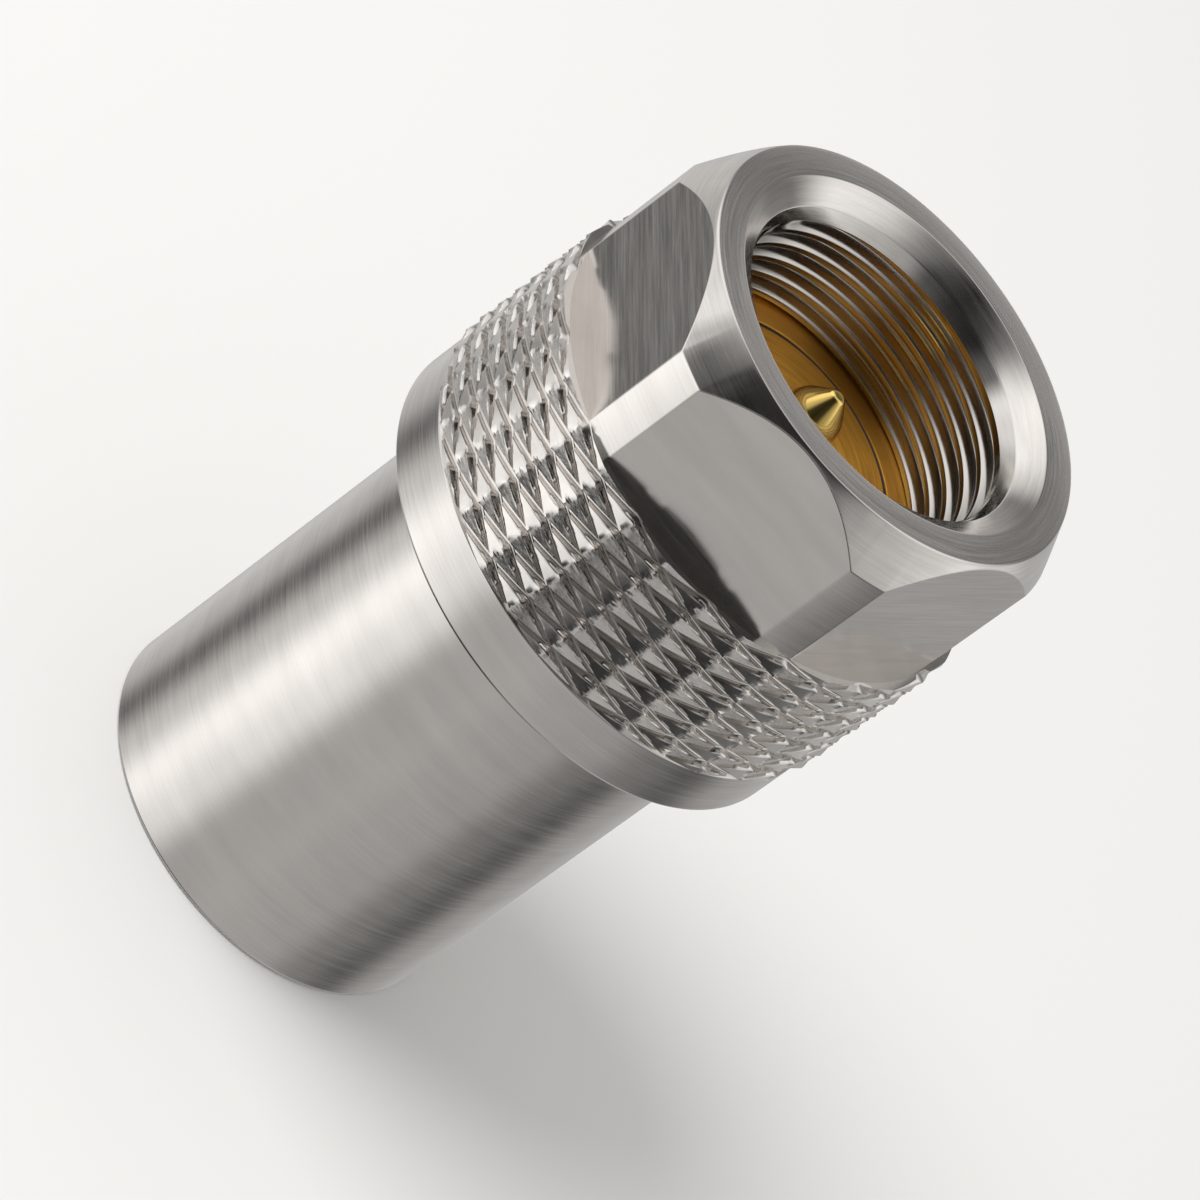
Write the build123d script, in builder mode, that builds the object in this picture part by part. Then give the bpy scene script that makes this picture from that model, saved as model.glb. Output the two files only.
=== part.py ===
"""A coaxial terminator: a plain round body with a knurled coupling nut that spins on it.

The terminator stands on its rear face, with its axis along +Z and its mating end up. The
origin is the centre of the rear face. All sizes are in millimetres. Each piece is turned
about the same axis, and one wrench flat of the nut faces -Y.
"""
import math
import os

from build123d import *

# Fits between the pieces
running_clearance = 0.05        # between pieces that turn on each other, on the radius
fitted_clearance = 0.02         # between pieces that are pushed together, on the radius
axial_play = 0.20               # how far the nut can slip along the body

# Radii, from the coupling thread outwards
thread_minor_radius = 7.42      # crests of the 5/8-24 inner thread
thread_pitch = 25.4 / 24        # 24 turns to the inch
thread_depth = 0.56             # crest to root
thread_root_width = 0.13
thread_angle = 60
thread_cut_overlap = 0.15       # the thread groove's section reaches this far inside the bore
thread_start = 180              # where the groove begins, in degrees around from +X
relief_spare = 0.22             # undercut behind the thread, outside its root
stop_width = 1.20               # step in the nut that faces the end of the body
nut_wall = 2.05                 # nut material outside the body, at the root of the knurl
collar_rise = 0.18              # the plain collar above the knurl's root
flat_depth = 1.10               # how deep the wrench flats are milled
bevel_width = 1.20              # width of the front bevel across the corners
bevel_length = 2.25             # length of the front bevel along the axis
mouth_width = 1.40              # from the thread's crest to the inner edge of the front face
mouth_depth = 0.77              # depth of the wide countersink in the mouth
mouth_step_width = 0.32         # width of the small countersink under it
mouth_step_depth = 0.66         # depth of the small countersink

# Lengths of the outside, from the rear face to the front
body_reach = 21.1               # plain body behind the nut
collar_length = 3.1
knurl_length = 7.9
hex_length = 7.9
edge_break = 0.18               # small bevels on the turned edges

# The knurl: long raised diamonds between two crossing sets of helical grooves
knurl_columns = 16              # diamonds around, in each row
knurl_rows = 7                  # rows of diamonds along the axis
knurl_height = 0.55             # the diamonds' tops above the knurl's root
knurl_top_share = 0.20          # size of a diamond's small top against its foot

# Body and outer contact
body_wall = 2.00
contact_wall = 1.13             # outer contact around the support bead
contact_recess = 7.1            # front face of the nut to the gold floor
flange_thickness = 2.0
pilot_length = 4.0              # outer contact inside the body
line_radius = 2.85              # bore of the coaxial line around the pin

# Centre pin and its beads
pin_radius = 1.40
pin_neck_radius = 1.00          # the pin inside the support bead
pin_recess = 3.54               # front face of the nut to the pin's tip
pin_cone_length = 1.35
pin_tip_radius = 0.34
pin_tail = 2.4                  # pin behind the outer contact
pin_socket_radius = 0.70
pin_socket_depth = 2.4
pin_slot_width = 0.30
bead_thickness = 2.4
rear_bead_thickness = 1.5
rear_bead_depth = 1.4           # foot of the outer contact to the rear bead
seal_width = 0.18               # the dark ring around the support bead
seal_depth = 0.80
seam_bevel = 0.06               # edges on both sides of the seal

# Resistor and the conductors around it
rod_radius = 1.50
rod_end_gap = 0.10              # between the rod and the narrow end of the taper
cap_wall = 0.30
cap_base = 0.60
cap_grip = 1.80                 # how far a resistor cap covers the rod
spigot_length = 2.0
plug_thickness = 4.0
plug_socket_depth = 3.0

# Rear closing pieces
rear_recess = 0.40              # rear cap below the body's rear face
rear_cap_thickness = 2.2
retaining_ring_thickness = 1.6
retaining_ring_bore = 3.0
spanner_slot_width = 1.2
spanner_slot_depth = 0.7
spring_height = 0.8
spring_thickness = 0.35
spring_bore = 4.2

# Ring between the nut and the body, and the seals
snap_ring_height = 1.0
snap_ring_inside = 0.50         # snap ring inside the body's outline
snap_ring_outside = 0.60        # snap ring outside it
snap_ring_opening = 3.0
snap_groove_spare = 0.35        # free room under the snap ring in its groove
snap_ring_place = 4.8           # the nut's inner step to the ring's middle
ring_side_play = 0.06           # between the ring's faces and its grooves
nut_seal_cord = 0.84            # thickness of the rubber rings
contact_seal_cord = 0.60
cap_seal_cord = 0.74
seal_place = 1.7                # rear face of the nut to its rubber ring
seal_groove_spare = 0.30        # a rubber ring's groove is this much wider than the ring
slip_washer_thickness = 0.15

# Radii that follow from the ones above
relief_radius = thread_minor_radius + thread_depth + relief_spare
body_radius = relief_radius + stop_width
nut_bore_radius = body_radius + running_clearance
blank_radius = nut_bore_radius + nut_wall
collar_radius = blank_radius + collar_rise
flat_apothem = blank_radius - flat_depth
face_radius = blank_radius - bevel_width
mouth_radius = thread_minor_radius + mouth_width
mouth_step_radius = thread_minor_radius + mouth_step_width
flange_radius = relief_radius - running_clearance
body_bore_radius = body_radius - body_wall
pilot_radius = body_bore_radius - fitted_clearance
bead_seat_radius = pilot_radius - contact_wall
bead_radius = bead_seat_radius - fitted_clearance
rod_cap_radius = rod_radius + fitted_clearance + cap_wall

# Heights that follow, from the rear face
nut_rear = body_reach
knurl_rear = nut_rear + collar_length
shoulder = knurl_rear + knurl_length
front = shoulder + hex_length
contact_face = front - contact_recess
body_front = contact_face - flange_thickness
nut_step = body_front + axial_play
thread_rear = contact_face + running_clearance
mouth_foot = front - mouth_depth - mouth_step_depth
pilot_rear = body_front - pilot_length
bead_rear = contact_face - bead_thickness
pin_tip = front - pin_recess
pin_rear = pilot_rear - pin_tail
rod_front = pin_rear - cap_base
rear_cap_front = rear_recess + rear_cap_thickness
retaining_ring_front = rear_cap_front + retaining_ring_thickness
plug_rear = retaining_ring_front + spring_height
plug_front = plug_rear + plug_thickness
rear_cap_seat = plug_front - plug_socket_depth
rod_rear = rear_cap_seat + cap_base
snap_ring_middle = nut_step - snap_ring_place
nut_seal_middle = nut_rear + seal_place


def half_section(*outline):
    """The closed half section of a turned piece, as corners of radius and height."""
    with BuildSketch(Plane.XZ) as section:
        with BuildLine():
            Polyline(*outline, close=True)
        make_face()
    return section.sketch


def cord_section(radius, height, cord):
    """The round section of a rubber ring whose middle line has the given radius."""
    with BuildSketch(Plane.XZ) as section:
        with Locations((radius, height)):
            Circle(cord / 2)
    return section.sketch


def groove_section(inner, outer, middle, width):
    """The square section of a turned groove."""
    with BuildSketch(Plane.XZ) as section:
        with Locations(((inner + outer) / 2, middle)):
            Rectangle(outer - inner, width)
    return section.sketch


# Knurl: a lattice of half columns and half rows, with a diamond around every second point
half_column = math.pi / knurl_columns
half_row = knurl_length / knurl_rows / 2
last_row = 2 * knurl_rows
top_radius = blank_radius + knurl_height
point_radius = (top_radius - knurl_top_share * blank_radius) / (1 - knurl_top_share)


def lattice_point(column, row, radius):
    """A point over the knurl's lattice, at the given distance from the axis."""
    angle = column * half_column
    return Vector(radius * math.cos(angle), radius * math.sin(angle), knurl_rear + row * half_row)


def diamond_corners(column, row):
    """The four corners of a diamond, where grooves cross, in order around it."""
    return [
        lattice_point(column + across, row + along, blank_radius)
        for across, along in ((1, 0), (0, 1), (-1, 0), (0, -1))
    ]


def top_corners(column, row):
    """The corners of a diamond's small top, on the lines from its corners to its point."""
    point = lattice_point(column, row, point_radius)
    return [point + (corner - point) * knurl_top_share for corner in diamond_corners(column, row)]


def top_middle(column, row):
    """The middle of a diamond's top."""
    return lattice_point(column, row, top_radius)


def flat_face(*corners):
    return Face(Wire.make_polygon(corners, close=True))


def diamond_faces(column, row):
    """The sides and top of one diamond; at either end of the band only the half inside it."""
    corners = diamond_corners(column, row)
    tops = top_corners(column, row)
    faces = []
    for side in range(4):
        after = (side + 1) % 4
        towards_front = side < 2
        if row == 0 and not towards_front or row == last_row and towards_front:
            continue
        faces.append(flat_face(corners[side], corners[after], tops[after], tops[side]))
        faces.append(flat_face(tops[side], tops[after], top_middle(column, row)))
    return faces


def band_end(row):
    """The zigzag end face of the knurled band, through the middle of a row of diamonds."""
    outline = []
    for column in range(0, 2 * knurl_columns, 2):
        tops = top_corners(column, row)
        groove = lattice_point(column + 1, row, blank_radius)
        outline += [tops[2], top_middle(column, row), tops[0], groove]
    return flat_face(*outline)


with BuildPart() as knurled_band:
    band_faces = [band_end(0), band_end(last_row)]
    for row in range(last_row + 1):
        for column in range(row % 2, 2 * knurl_columns, 2):
            band_faces += diamond_faces(column, row)
    add(Solid(Shell(band_faces)))

# Thread groove: a helix from the relief to just behind the mouth's small countersink. Its
# section reaches inside the bore, so that the cut leaves flat crests at the bore's radius
flank_slope = math.tan(math.radians(thread_angle / 2))
groove_foot = thread_root_width / 2 + (thread_depth + thread_cut_overlap) * flank_slope
groove_rear = thread_rear - thread_pitch
groove_front = mouth_foot - thread_root_width - thread_depth * flank_slope
with BuildPart() as thread_groove:
    with BuildLine():
        thread_path = Helix(
            thread_pitch,
            groove_front - groove_rear,
            thread_minor_radius,
            center=(0, 0, groove_rear),
        )
    with BuildSketch(Plane(origin=thread_path @ 0, x_dir=(1, 0, 0), z_dir=thread_path % 0)):
        with BuildLine():
            Polyline(
                (-thread_cut_overlap, -groove_foot),
                (thread_depth, -thread_root_width / 2),
                (thread_depth, thread_root_width / 2),
                (-thread_cut_overlap, groove_foot),
                close=True,
            )
        make_face()
    sweep(is_frenet=True)

# Coupling nut: one solid piece with the collar, the knurled band, the flats and the bore
core_radius = blank_radius - knurl_height
with BuildPart() as coupling_nut:
    revolve(
        half_section(
            (0, nut_rear),
            (collar_radius - edge_break, nut_rear),
            (collar_radius, nut_rear + edge_break),
            (collar_radius, knurl_rear - edge_break),
            (collar_radius - edge_break, knurl_rear),
            (core_radius, knurl_rear),
            (core_radius, shoulder),
            (blank_radius, shoulder),
            (blank_radius, front - bevel_length),
            (face_radius, front),
            (0, front),
        ),
        axis=Axis.Z,
    )
    add(knurled_band.part)
    # Six wrench flats, milled down to the shoulder in front of the knurl
    with BuildSketch(Plane.XY.offset(shoulder)):
        Circle(top_radius)
        RegularPolygon(flat_apothem, 6, major_radius=False, mode=Mode.SUBTRACT)
    extrude(amount=hex_length, mode=Mode.SUBTRACT)
    # Running bore, relief, coupling thread at its crests, and the countersunk mouth
    revolve(
        half_section(
            (0, nut_rear),
            (nut_bore_radius + edge_break, nut_rear),
            (nut_bore_radius, nut_rear + edge_break),
            (nut_bore_radius, nut_step),
            (relief_radius, nut_step),
            (relief_radius, thread_rear),
            (thread_minor_radius, thread_rear),
            (thread_minor_radius, mouth_foot),
            (mouth_step_radius, front - mouth_depth),
            (mouth_radius, front),
            (0, front),
        ),
        axis=Axis.Z,
        mode=Mode.SUBTRACT,
    )
    add(thread_groove.part, rotation=(0, 0, thread_start), mode=Mode.SUBTRACT)
    # Groove for the snap ring
    revolve(
        groove_section(
            nut_bore_radius - running_clearance,
            body_radius + snap_ring_outside + running_clearance,
            snap_ring_middle,
            snap_ring_height + 2 * ring_side_play,
        ),
        axis=Axis.Z,
        mode=Mode.SUBTRACT,
    )

# Body: a plain tube that runs inside the nut, with grooves for the snap ring and the nut's seal
nut_seal_radius = body_radius - nut_seal_cord / 2
nut_seal_floor = body_radius - nut_seal_cord - fitted_clearance
with BuildPart() as body_shell:
    revolve(
        half_section(
            (body_bore_radius + edge_break, 0),
            (body_radius - edge_break, 0),
            (body_radius, edge_break),
            (body_radius, body_front - edge_break),
            (body_radius - edge_break, body_front),
            (body_bore_radius, body_front),
            (body_bore_radius, edge_break),
        ),
        axis=Axis.Z,
    )
    revolve(
        groove_section(
            body_radius - snap_ring_inside - snap_groove_spare,
            nut_bore_radius,
            snap_ring_middle,
            snap_ring_height + 2 * ring_side_play,
        ),
        axis=Axis.Z,
        mode=Mode.SUBTRACT,
    )
    revolve(
        groove_section(
            nut_seal_floor, nut_bore_radius, nut_seal_middle, nut_seal_cord + seal_groove_spare
        ),
        axis=Axis.Z,
        mode=Mode.SUBTRACT,
    )

# Split ring that keeps the nut on the body
with BuildPart() as snap_ring:
    revolve(
        groove_section(
            body_radius - snap_ring_inside,
            body_radius + snap_ring_outside,
            snap_ring_middle,
            snap_ring_height,
        ),
        axis=Axis.Z,
    )
    with BuildSketch(Plane.XY.offset(snap_ring_middle)):
        with Locations((0, body_radius)):
            Rectangle(snap_ring_opening, 4 * snap_ring_outside)
    extrude(amount=snap_ring_height, both=True, mode=Mode.SUBTRACT)

with BuildPart() as nut_o_ring:
    revolve(cord_section(nut_seal_radius, nut_seal_middle, nut_seal_cord), axis=Axis.Z)

# Thin washer on the body's front face, against the nut's inner step
with BuildPart() as slip_washer:
    revolve(
        half_section(
            (flange_radius + running_clearance, body_front),
            (body_radius - edge_break, body_front),
            (body_radius - edge_break, body_front + slip_washer_thickness),
            (flange_radius + running_clearance, body_front + slip_washer_thickness),
        ),
        axis=Axis.Z,
    )

# Outer contact: the gold floor inside the nut, and the pilot that seats in the body
pilot_seal_middle = (pilot_rear + bead_rear) / 2
pilot_seal_radius = pilot_radius - contact_seal_cord / 2
pilot_seal_floor = pilot_radius - contact_seal_cord - fitted_clearance
with BuildPart() as outer_contact:
    revolve(
        half_section(
            (line_radius, pilot_rear),
            (pilot_radius - edge_break, pilot_rear),
            (pilot_radius, pilot_rear + edge_break),
            (pilot_radius, body_front),
            (flange_radius, body_front),
            (flange_radius, contact_face - edge_break),
            (flange_radius - edge_break, contact_face),
            (bead_seat_radius + seam_bevel, contact_face),
            (bead_seat_radius, contact_face - seam_bevel),
            (bead_seat_radius, bead_rear),
            (line_radius, bead_rear),
        ),
        axis=Axis.Z,
    )
    revolve(
        groove_section(
            pilot_seal_floor,
            body_bore_radius,
            pilot_seal_middle,
            contact_seal_cord + seal_groove_spare,
        ),
        axis=Axis.Z,
        mode=Mode.SUBTRACT,
    )

with BuildPart() as contact_o_ring:
    revolve(cord_section(pilot_seal_radius, pilot_seal_middle, contact_seal_cord), axis=Axis.Z)

# Support bead: the disc that carries the pin, with a step for the dark ring around it
bead_step_radius = bead_radius - seal_width
with BuildPart() as support_bead:
    revolve(
        half_section(
            (pin_neck_radius + fitted_clearance, bead_rear),
            (bead_radius, bead_rear),
            (bead_radius, contact_face - seal_depth),
            (bead_step_radius, contact_face - seal_depth),
            (bead_step_radius, contact_face - seam_bevel),
            (bead_step_radius - seam_bevel, contact_face),
            (pin_neck_radius + fitted_clearance, contact_face),
        ),
        axis=Axis.Z,
    )

with BuildPart() as bead_seal_ring:
    revolve(
        half_section(
            (bead_step_radius + fitted_clearance, contact_face - seal_depth),
            (bead_radius, contact_face - seal_depth),
            (bead_radius, contact_face - seam_bevel),
            (bead_step_radius + fitted_clearance, contact_face - seam_bevel),
        ),
        axis=Axis.Z,
    )

# Centre pin: cone tip, a thin neck inside the bead, and a slotted socket behind
pin_shoulder = pin_tip - pin_cone_length
pin_foot = contact_face + fitted_clearance
with BuildPart() as centre_pin:
    revolve(
        half_section(
            (0, pin_rear),
            (pin_radius, pin_rear),
            (pin_radius, bead_rear - fitted_clearance),
            (pin_neck_radius, bead_rear - fitted_clearance),
            (pin_neck_radius, pin_foot),
            (pin_radius, pin_foot),
            (pin_radius, pin_shoulder),
            (pin_tip_radius, pin_tip),
            (0, pin_tip),
        ),
        axis=Axis.Z,
    )
    tip_edge = edges().filter_by(GeomType.CIRCLE).group_by(Axis.Z)[-1]
    fillet(tip_edge, pin_tip_radius * 0.7)
    shoulder_edge = edges().filter_by(GeomType.CIRCLE).filter_by(
        lambda edge: abs(edge.center().Z - pin_shoulder) < 0.01
    )
    fillet(shoulder_edge, pin_tip_radius)
    with Locations(Location((0, 0, pin_rear), (180, 0, 0))):
        Hole(pin_socket_radius, depth=pin_socket_depth)
    with BuildSketch(Plane.XY.offset(pin_rear)):
        Rectangle(4 * pin_radius, pin_slot_width)
        Rectangle(pin_slot_width, 4 * pin_radius)
    extrude(amount=pin_socket_depth, mode=Mode.SUBTRACT)

with BuildPart() as rear_bead:
    revolve(
        half_section(
            (pin_radius + fitted_clearance, pilot_rear + rear_bead_depth),
            (line_radius - fitted_clearance, pilot_rear + rear_bead_depth),
            (line_radius - fitted_clearance, pilot_rear + rear_bead_depth + rear_bead_thickness),
            (pin_radius + fitted_clearance, pilot_rear + rear_bead_depth + rear_bead_thickness),
        ),
        axis=Axis.Z,
    )

# Resistor: a ceramic rod with a metal cap on each end
with BuildPart() as resistor_rod:
    revolve(
        half_section(
            (0, rod_rear), (rod_radius, rod_rear), (rod_radius, rod_front), (0, rod_front)
        ),
        axis=Axis.Z,
    )

spigot_radius = pin_socket_radius - fitted_clearance
with BuildPart() as resistor_front_cap:
    revolve(
        half_section(
            (0, rod_front),
            (rod_radius + fitted_clearance, rod_front),
            (rod_radius + fitted_clearance, rod_front - cap_grip),
            (rod_cap_radius, rod_front - cap_grip),
            (rod_cap_radius, pin_rear),
            (spigot_radius, pin_rear),
            (spigot_radius, pin_rear + spigot_length),
            (0, pin_rear + spigot_length),
        ),
        axis=Axis.Z,
    )

with BuildPart() as resistor_rear_cap:
    revolve(
        half_section(
            (0, rear_cap_seat),
            (rod_cap_radius, rear_cap_seat),
            (rod_cap_radius, rod_rear + cap_grip),
            (rod_radius + fitted_clearance, rod_rear + cap_grip),
            (rod_radius + fitted_clearance, rod_rear),
            (0, rod_rear),
        ),
        axis=Axis.Z,
    )

# Taper sleeve: the outer conductor narrows along the resistor
with BuildPart() as taper_sleeve:
    revolve(
        half_section(
            (rod_radius + rod_end_gap, plug_front),
            (pilot_radius, plug_front),
            (pilot_radius, pilot_rear),
            (line_radius, pilot_rear),
        ),
        axis=Axis.Z,
    )

with BuildPart() as ground_plug:
    revolve(
        half_section(
            (0, plug_rear),
            (pilot_radius - edge_break, plug_rear),
            (pilot_radius, plug_rear + edge_break),
            (pilot_radius, plug_front),
            (rod_cap_radius + fitted_clearance, plug_front),
            (rod_cap_radius + fitted_clearance, rear_cap_seat),
            (0, rear_cap_seat),
        ),
        axis=Axis.Z,
    )

# Dished spring washer between the retaining ring and the plug
spring_radius = pilot_radius - edge_break
with BuildPart() as spring_washer:
    revolve(
        half_section(
            (spring_radius, retaining_ring_front),
            (spring_radius, retaining_ring_front + spring_thickness),
            (spring_bore, plug_rear),
            (spring_bore, plug_rear - spring_thickness),
        ),
        axis=Axis.Z,
    )

with BuildPart() as retaining_ring:
    revolve(
        half_section(
            (retaining_ring_bore, rear_cap_front),
            (pilot_radius, rear_cap_front),
            (pilot_radius, retaining_ring_front),
            (retaining_ring_bore, retaining_ring_front),
        ),
        axis=Axis.Z,
    )
    with BuildSketch(Plane.XY.offset(rear_cap_front)):
        Rectangle(4 * pilot_radius, spanner_slot_width)
    extrude(amount=spanner_slot_depth, mode=Mode.SUBTRACT)

# Rear cap, pushed in below the body's rear face, with its seal
cap_seal_radius = pilot_radius - cap_seal_cord / 2
cap_seal_floor = pilot_radius - cap_seal_cord - fitted_clearance
cap_seal_middle = rear_recess + rear_cap_thickness / 2
with BuildPart() as rear_cap:
    revolve(
        half_section(
            (0, rear_recess),
            (pilot_radius - edge_break, rear_recess),
            (pilot_radius, rear_recess + edge_break),
            (pilot_radius, rear_cap_front),
            (0, rear_cap_front),
        ),
        axis=Axis.Z,
    )
    revolve(
        groove_section(
            cap_seal_floor, body_bore_radius, cap_seal_middle, cap_seal_cord + seal_groove_spare
        ),
        axis=Axis.Z,
        mode=Mode.SUBTRACT,
    )

with BuildPart() as cap_o_ring:
    revolve(cord_section(cap_seal_radius, cap_seal_middle, cap_seal_cord), axis=Axis.Z)

# Each piece is written to its own file, named after it
pieces = {
    "coupling_nut": coupling_nut,
    "body_shell": body_shell,
    "snap_ring": snap_ring,
    "nut_o_ring": nut_o_ring,
    "slip_washer": slip_washer,
    "outer_contact": outer_contact,
    "contact_o_ring": contact_o_ring,
    "support_bead": support_bead,
    "bead_seal_ring": bead_seal_ring,
    "centre_pin": centre_pin,
    "rear_bead": rear_bead,
    "resistor_front_cap": resistor_front_cap,
    "resistor_rod": resistor_rod,
    "resistor_rear_cap": resistor_rear_cap,
    "taper_sleeve": taper_sleeve,
    "ground_plug": ground_plug,
    "spring_washer": spring_washer,
    "retaining_ring": retaining_ring,
    "rear_cap": rear_cap,
    "cap_o_ring": cap_o_ring,
}

os.makedirs("parts", exist_ok=True)
for name, piece in pieces.items():
    piece.part.label = name
    export_step(piece.part, f"parts/{name}.step")
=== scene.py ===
"""The finish, stage and camera of a coaxial terminator.

The coupling nut, the body and the pieces in the nut's mouth are rebuilt here as fine meshes
of rings around the axis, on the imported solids' own sizes. The nut has its knurl and its
coupling thread as real shape. Everything is in metres, in the frame of the solids.
"""
import math
import random

import bmesh
import bpy
from bpy.props import FloatProperty, FloatVectorProperty, IntProperty, PointerProperty
from bpy.types import Operator, Panel, PropertyGroup
from mathutils import Matrix, Vector, noise


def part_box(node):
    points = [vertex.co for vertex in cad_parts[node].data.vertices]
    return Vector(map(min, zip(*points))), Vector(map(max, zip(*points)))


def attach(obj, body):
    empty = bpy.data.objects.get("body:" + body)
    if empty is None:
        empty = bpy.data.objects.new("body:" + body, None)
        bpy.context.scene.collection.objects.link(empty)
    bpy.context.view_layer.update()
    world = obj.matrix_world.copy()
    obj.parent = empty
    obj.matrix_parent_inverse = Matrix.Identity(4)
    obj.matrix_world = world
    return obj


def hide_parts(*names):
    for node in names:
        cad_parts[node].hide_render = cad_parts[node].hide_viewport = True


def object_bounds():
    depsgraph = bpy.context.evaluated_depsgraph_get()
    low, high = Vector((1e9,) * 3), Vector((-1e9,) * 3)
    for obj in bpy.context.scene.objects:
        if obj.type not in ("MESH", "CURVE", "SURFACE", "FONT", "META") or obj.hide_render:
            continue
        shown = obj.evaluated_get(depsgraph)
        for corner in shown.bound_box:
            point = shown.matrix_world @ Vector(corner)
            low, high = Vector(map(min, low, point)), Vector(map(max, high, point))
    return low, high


bl_info = {
    "name": "Coaxial terminator finish",
    "version": (1, 0, 0),
    "blender": (4, 5, 0),
    "location": "3D View > Sidebar > Terminator",
    "description": "Builds the nut, the body, the mating end and the stage of a coaxial terminator",
    "category": "Object",
}

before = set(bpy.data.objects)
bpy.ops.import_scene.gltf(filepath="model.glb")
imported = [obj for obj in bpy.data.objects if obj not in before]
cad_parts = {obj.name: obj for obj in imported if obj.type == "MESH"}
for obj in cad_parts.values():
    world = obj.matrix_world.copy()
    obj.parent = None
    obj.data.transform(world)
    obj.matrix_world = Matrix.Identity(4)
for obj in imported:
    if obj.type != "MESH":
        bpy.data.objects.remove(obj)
cad_low, cad_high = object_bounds()
nut_low, nut_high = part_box("coupling_nut")
body_low, body_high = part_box("body_shell")
contact_low, contact_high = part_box("outer_contact")
bead_low, bead_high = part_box("support_bead")
bead_seal_low, bead_seal_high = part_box("bead_seal_ring")
pin_low, pin_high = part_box("centre_pin")
snap_low, snap_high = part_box("snap_ring")
nut_seal_low, nut_seal_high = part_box("nut_o_ring")
pilot_seal_low, pilot_seal_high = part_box("contact_o_ring")
sleeve_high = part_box("taper_sleeve")[1]

MM = 0.001
TURN = 2 * math.pi


# Properties

def length(name, description, millimetres):
    return FloatProperty(
        name=name, description=description, default=millimetres * MM, unit="LENGTH", precision=5
    )


def colour(name, description, value):
    return FloatVectorProperty(
        name=name, description=description, default=value, subtype="COLOR", size=3, min=0, max=1
    )


class NutSizes(PropertyGroup):
    collar_length: length("Collar length", "Plain collar at the nut's rear end", 3.1)
    collar_drop: length("Collar drop", "The collar's surface below the knurl's tops", 0.37)
    knurl_length: length("Knurl length", "Knurled band along the axis", 7.9)
    knurl_height: length("Knurl height", "The knurl's tops above its grooves", 0.55)
    knurl_columns: IntProperty(
        name="Knurl columns", description="Diamonds around the nut in each row", default=16, min=3
    )
    knurl_rows: IntProperty(
        name="Knurl rows", description="Rows of diamonds along the axis", default=7, min=1
    )
    flat_depth: length("Flat depth", "How deep the wrench flats are milled", 1.10)
    bevel_width: length("Bevel width", "Front bevel across the corners", 1.20)
    bevel_length: length("Bevel length", "Front bevel along the axis", 2.25)
    bore_clearance: length("Bore clearance", "Gap between the nut's rear bore and the body", 0.05)
    axial_play: length("Axial play", "Gap between the body's end and the nut's step", 0.20)
    groove_play: length("Groove play", "Room beside the snap ring in its grooves", 0.06)
    groove_room: length("Groove room", "Room under the snap ring in the body's groove", 0.35)
    ring_inside: length("Ring inside", "Snap ring inside the body's outline", 0.50)
    edge_break: length("Edge break", "Small bevels on the turned edges", 0.18)
    edge_radius: length("Edge radius", "Rounding of turned and milled edges", 0.06)
    rim_radius: length("Rim radius", "Rounding of the front face's outer edge", 0.10)


class ThreadSizes(PropertyGroup):
    crest_radius: length("Crest radius", "Radius of the thread's crests", 7.42)
    relief_depth: length("Relief depth", "Undercut behind the thread", 0.78)
    pitch: length("Pitch", "Pitch of the coupling thread", 25.4 / 24)
    depth: length("Depth", "Crest to root", 0.56)
    run_out: length("Run-out", "Small countersink to the middle of the last groove", 0.37)
    start: FloatProperty(
        name="Start", description="Where the groove begins around the nut",
        default=math.pi, unit="ROTATION",
    )
    mouth_width: length("Mouth width", "Thread crest to the front face's inner edge", 1.40)
    mouth_depth: length("Mouth depth", "Depth of the wide countersink", 0.77)
    step_width: length("Step width", "Width of the small countersink under it", 0.32)
    step_depth: length("Step depth", "Depth of the small countersink", 0.66)


class HousingSizes(PropertyGroup):
    edge_break: length("Edge break", "Small bevels on the turned edges", 0.18)
    edge_radius: length("Edge radius", "Rounding of turned edges", 0.05)
    seam_bevel: length("Seam bevel", "Edges on both sides of the seam", 0.03)
    seal_width: length("Seal width", "The dark ring around the bead", 0.18)
    line_radius: length("Line radius", "Bore around the pin, behind the bead", 2.85)
    pin_neck: length("Pin neck", "Radius of the pin inside the bead", 1.00)
    cone_length: length("Cone length", "The pin's cone", 1.35)
    tip_radius: length("Tip radius", "Radius of the cone's blunt end", 0.34)
    shoulder_reach: length("Shoulder reach", "How far the pin's shoulder is rounded", 0.55)
    socket_radius: length("Socket radius", "Hole in the pin's rear end", 0.70)
    socket_depth: length("Socket depth", "Depth of that hole and of the slots", 2.4)
    slot_width: length("Slot width", "Slots in the pin's rear end", 0.30)
    fitted_gap: length("Fitted gap", "Gap between pieces that are pressed together", 0.02)
    seal_room: length("Seal room", "Room beside a rubber ring in its groove", 0.15)


class FinishColours(PropertyGroup):
    steel: colour("Steel", "Stainless steel of the nut and the body", (0.73, 0.70, 0.675))
    # Painted shade: this darker steel stands in for the shade deep in the nut's threaded mouth and
    # on the shoulder at the knurl's foot
    painted_shade_steel: colour("Cut steel", "The cut thread and the milled shoulder", (0.60, 0.57, 0.54))
    gold: colour("Gold", "Gold plate on the outer contact", (0.94, 0.50, 0.09))
    pin_gold: colour("Pin gold", "Polished gold plate on the centre pin", (1.0, 0.69, 0.21))
    amber: colour("Amber", "Insulating plastic around the pin", (0.80, 0.40, 0.06))
    rubber: colour("Rubber", "Sealing rings", (0.035, 0.033, 0.032))
    brass: colour("Brass", "Turned pieces inside the body", (0.72, 0.53, 0.24))
    bronze: colour("Bronze", "Spring washer and snap ring", (0.60, 0.38, 0.20))
    nickel: colour("Nickel", "Resistor caps", (0.68, 0.66, 0.62))
    white_plastic: colour("White plastic", "Rear bead and slip washer", (0.85, 0.85, 0.83))
    ceramic: colour("Ceramic", "Resistor rod", (0.72, 0.69, 0.62))
    floor: colour("Floor", "The pale floor", (0.855, 0.85, 0.835))


# Rings and meshes

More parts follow.
